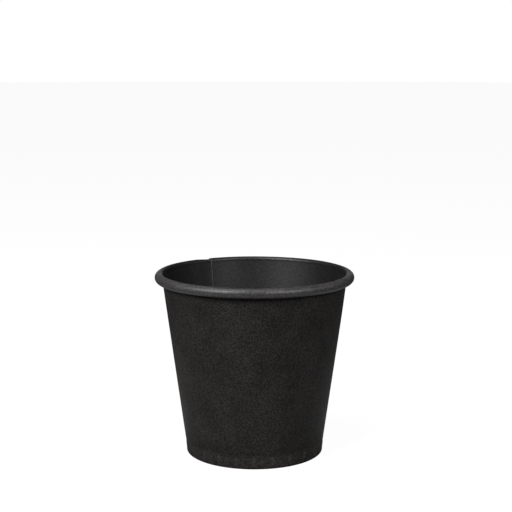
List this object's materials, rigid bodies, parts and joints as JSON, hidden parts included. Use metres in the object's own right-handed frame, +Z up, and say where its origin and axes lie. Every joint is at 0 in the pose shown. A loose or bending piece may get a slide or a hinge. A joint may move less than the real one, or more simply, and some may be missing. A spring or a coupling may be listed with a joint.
{
  "type": "paper cup",
  "caption": "Small black single wall paper cup with a rolled rim, a lapped side seam and a recessed base sealed in a folded foot.",
  "frame": {"origin": "centre of the foot, on the table it stands on", "axes": "+Z up along the cup's axis, +X to the right and -Y towards the viewer; the side seam is at the back, a little left of the middle"},
  "size_m": [0.0622, 0.0622, 0.0572],
  "materials": {
    "coated_board": "matte",
    "lined_board": "satin"
  },
  "bodies": {
    "root": {"side_wall": "coated_board", "base_disc": "lined_board"}
  },
  "joints": []
}
